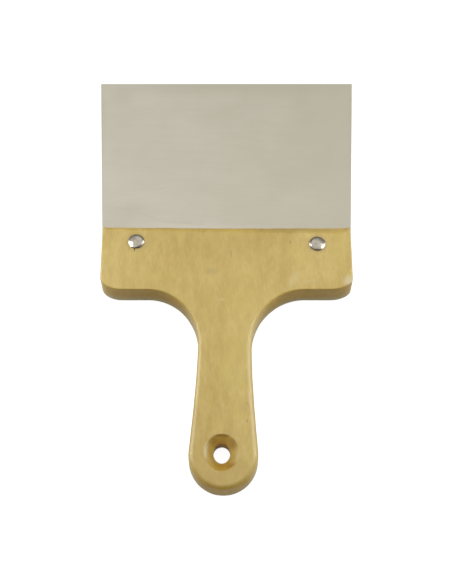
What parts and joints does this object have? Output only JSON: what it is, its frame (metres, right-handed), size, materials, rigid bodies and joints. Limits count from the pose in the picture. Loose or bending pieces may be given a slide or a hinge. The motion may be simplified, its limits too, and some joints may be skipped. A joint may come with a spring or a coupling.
{
  "type": "drywall taping knife",
  "caption": "Drywall taping knife: flat steel sheet set in a kerf across a one-piece hardwood handle, held by domed rivets, with a countersunk hanging hole.",
  "frame": {"origin": "centre of the object's box in X and Y, on the surface it lies on under the back rivet heads in Z", "axes": "+X across the tool, +Y along it towards the working edge, +Z out of its front face"},
  "size_m": [0.18, 0.302, 0.0224],
  "materials": {
    "wood": "light fine-grained hardwood under a clear satin lacquer",
    "blade_steel": "satin rolled stainless steel, very faintly scratched",
    "rivet_nickel": "bright nickel plate, slightly dented by the riveting tool"
  },
  "bodies": {
    "root": {"handle": "wood", "blade": "blade_steel", "rivet_tube_left": "rivet_nickel", "rivet_tube_right": "rivet_nickel", "rivet_pin_left": "rivet_nickel", "rivet_pin_right": "rivet_nickel"}
  },
  "joints": []
}
